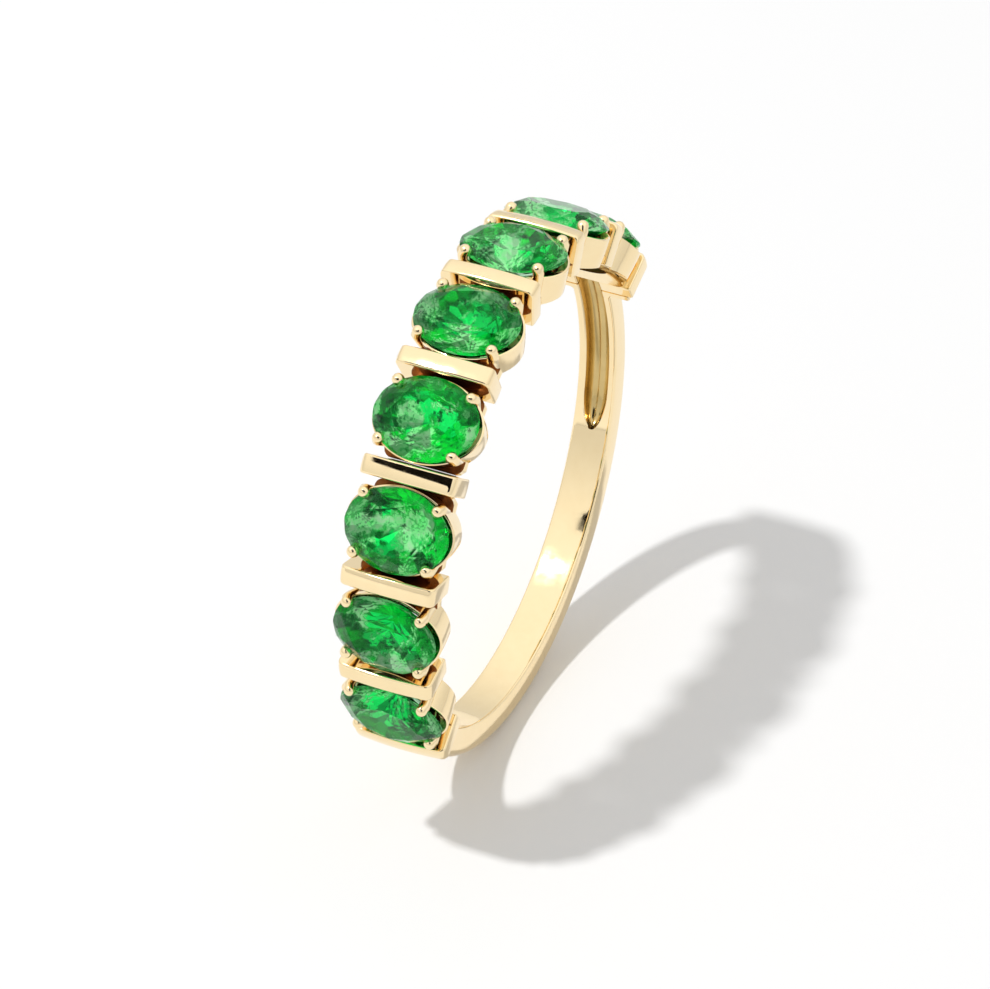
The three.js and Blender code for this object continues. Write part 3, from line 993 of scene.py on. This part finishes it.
# ---------------------------------------------------------------- stage
class RING_OT_stage(bpy.types.Operator):
    """Set the pale floor, the soft studio light and the camera"""

    bl_idname = "ring.stage"
    bl_label = "Stage"

    def floor(self, height):
        """Matt white paper: it takes the shadow and gives no reflection"""
        material, tree = new_material("matt_white_floor")
        shader = add_node(
            tree,
            "ShaderNodeBsdfDiffuse",
            {"Color": linear(bpy.context.scene.ring_colours.floor), "Roughness": 0.0},
        )
        add_node(tree, "ShaderNodeOutputMaterial", {"Surface": shader.outputs["BSDF"]})
        bm = bmesh.new()
        bmesh.ops.create_circle(
            bm,
            cap_ends=True,
            segments=96,
            radius=bpy.context.scene.ring_stage.floor_radius,
            matrix=Matrix.Translation((0, 0, height)),
        )
        mesh = bpy.data.meshes.new("floor")
        bm.to_mesh(mesh)
        bm.free()
        mesh.materials.append(material)
        floor = bpy.data.objects.new("floor", mesh)
        bpy.context.scene.collection.objects.link(floor)

    def reflectors(self):
        """A tent of white cloth, brighter overhead, seen only in reflections and through the stones"""
        stage = bpy.context.scene.ring_stage
        material, tree = new_material("studio_tent")
        place = add_node(tree, "ShaderNodeTexCoord").outputs["Object"]
        way = add_node(tree, "ShaderNodeVectorMath", {"Vector": place}, operation="NORMALIZE")
        parts = add_node(tree, "ShaderNodeSeparateXYZ", {"Vector": way.outputs["Vector"]})
        value = add_node(
            tree,
            "ShaderNodeMapRange",
            {
                "Value": parts.outputs["Z"],
                "From Min": 0.0,
                "From Max": 0.9,
                "To Min": stage.tent_low,
                "To Max": stage.tent_high,
            },
            interpolation_type="SMOOTHSTEP",
        )
        glow = add_node(
            tree, "ShaderNodeEmission", {"Color": (1, 1, 1, 1), "Strength": value.outputs["Result"]}
        )
        add_node(tree, "ShaderNodeOutputMaterial", {"Surface": glow.outputs["Emission"]})
        bm = bmesh.new()
        bmesh.ops.create_uvsphere(bm, u_segments=48, v_segments=24, radius=stage.tent_radius)
        mesh = bpy.data.meshes.new("studio_tent")
        bm.to_mesh(mesh)
        bm.free()
        mesh.materials.append(material)
        tent = bpy.data.objects.new("studio_tent", mesh)
        bpy.context.scene.collection.objects.link(tent)
        tent.visible_camera = False
        tent.visible_diffuse = False
        tent.visible_shadow = False
        tent.visible_volume_scatter = False

    def flag(self, name, origin, corners, distance):
        """A black card that only reflections see, laid out as it looks from the origin

        Each corner is an angle from +X towards +Z, and a share along Y.
        """
        if "black_velvet" not in bpy.data.materials:
            material, tree = new_material("black_velvet")
            velvet = linear(bpy.context.scene.ring_colours.velvet)
            shader = add_node(tree, "ShaderNodeBsdfDiffuse", {"Color": velvet})
            add_node(tree, "ShaderNodeOutputMaterial", {"Surface": shader.outputs["BSDF"]})
        bm = bmesh.new()
        verts = []
        for angle, along in corners:
            t, flat = math.radians(angle), math.sqrt(1 - along**2)
            way = Vector((flat * math.cos(t), along, flat * math.sin(t)))
            verts.append(bm.verts.new(origin + way * distance))
        bm.faces.new(verts)
        mesh = bpy.data.meshes.new(name)
        bm.to_mesh(mesh)
        bm.free()
        mesh.materials.append(bpy.data.materials["black_velvet"])
        card = bpy.data.objects.new(name, mesh)
        bpy.context.scene.collection.objects.link(card)
        for ray in ("camera", "diffuse", "shadow", "transmission", "volume_scatter"):
            setattr(card, f"visible_{ray}", False)

    def towards(self, azimuth, elevation):
        """The direction at an azimuth and a height above the horizon"""
        flat = math.cos(elevation)
        return Vector((flat * math.cos(azimuth), flat * math.sin(azimuth), math.sin(elevation)))

    def lamp(self, stage):
        data = bpy.data.lights.new("key", "AREA")
        data.shape = "DISK"
        data.size = stage.key_size
        data.energy = stage.key_power
        lamp = bpy.data.objects.new("key", data)
        out = self.towards(stage.key_azimuth, stage.key_elevation)
        lamp.location = out * stage.key_distance
        lamp.rotation_mode = "QUATERNION"
        lamp.rotation_quaternion = out.to_track_quat("Z", "Y")
        bpy.context.scene.collection.objects.link(lamp)

    def execute(self, context):
        scene = context.scene
        stage = scene.ring_stage
        self.floor(CAD_BOX[0].z)
        self.reflectors()
        s = sizes()
        bar_top = standing(s, bar_angle(s, 5)) @ Vector((0, 0, s.hole + s.bar_height))
        small = ((44, -0.55), (37, -0.13), (31, 0.2), (62, 0.2), (62, -0.55))
        self.flag("black_flag_small", bar_top, small, 0.015)
        large = ((24, 0.08), (58, 0.08), (58, 0.55), (24, 0.55))
        self.flag("black_flag_camera", Vector((0, 0, 0)), large, 0.4)
        world = bpy.data.worlds.new("soft_studio")
        world.use_nodes = True
        sky = world.node_tree.nodes["Background"].inputs
        sky["Color"].default_value = (1, 1, 1, 1)
        sky["Strength"].default_value = stage.fill
        scene.world = world
        self.lamp(stage)
        camera = bpy.data.objects.new("camera", bpy.data.cameras.new("camera"))
        camera.data.sensor_width = 36
        camera.data.lens = stage.camera_lens
        camera.data.clip_start = 0.01
        back = self.towards(stage.camera_azimuth, stage.camera_elevation)
        camera.location = Vector(stage.camera_aim) + back * stage.camera_distance
        camera.rotation_mode = "QUATERNION"
        camera.rotation_quaternion = (-back).to_track_quat("-Z", "Y")
        scene.collection.objects.link(camera)
        scene.camera = camera
        scene.view_settings.view_transform = "Standard"
        return {"FINISHED"}


class RING_PT_panel(bpy.types.Panel):
    """Lists the ring's pieces and sizes"""

    bl_idname = "RING_PT_panel"
    bl_label = "Half-eternity ring"
    bl_space_type = "VIEW_3D"
    bl_region_type = "UI"
    bl_category = "Ring"

    def draw(self, context):
        layout = self.layout
        for operator in OPERATORS:
            layout.operator(operator.bl_idname)
        for group in (context.scene.ring_sizes, context.scene.ring_colours, context.scene.ring_stage):
            box = layout.box()
            for name in group.bl_rna.properties.keys():
                if name not in ("name", "rna_type"):
                    box.prop(group, name)


GROUPS = (RingSizes, RingColours, StageSizes)
OPERATORS = (RING_OT_shank, RING_OT_bars, RING_OT_collets, RING_OT_emeralds, RING_OT_stage)


def register():
    for made in (*GROUPS, *OPERATORS, RING_PT_panel):
        bpy.utils.register_class(made)
    bpy.types.Scene.ring_sizes = bpy.props.PointerProperty(type=RingSizes)
    bpy.types.Scene.ring_colours = bpy.props.PointerProperty(type=RingColours)
    bpy.types.Scene.ring_stage = bpy.props.PointerProperty(type=StageSizes)


def unregister():
    del bpy.types.Scene.ring_stage
    del bpy.types.Scene.ring_colours
    del bpy.types.Scene.ring_sizes
    for made in (RING_PT_panel, *reversed(OPERATORS), *reversed(GROUPS)):
        bpy.utils.unregister_class(made)


def main():
    register()
    bpy.ops.ring.shank()
    bpy.ops.ring.bars()
    bpy.ops.ring.collets()
    bpy.ops.ring.emeralds()
    bpy.ops.ring.stage()


if __name__ == "__main__":
    main()
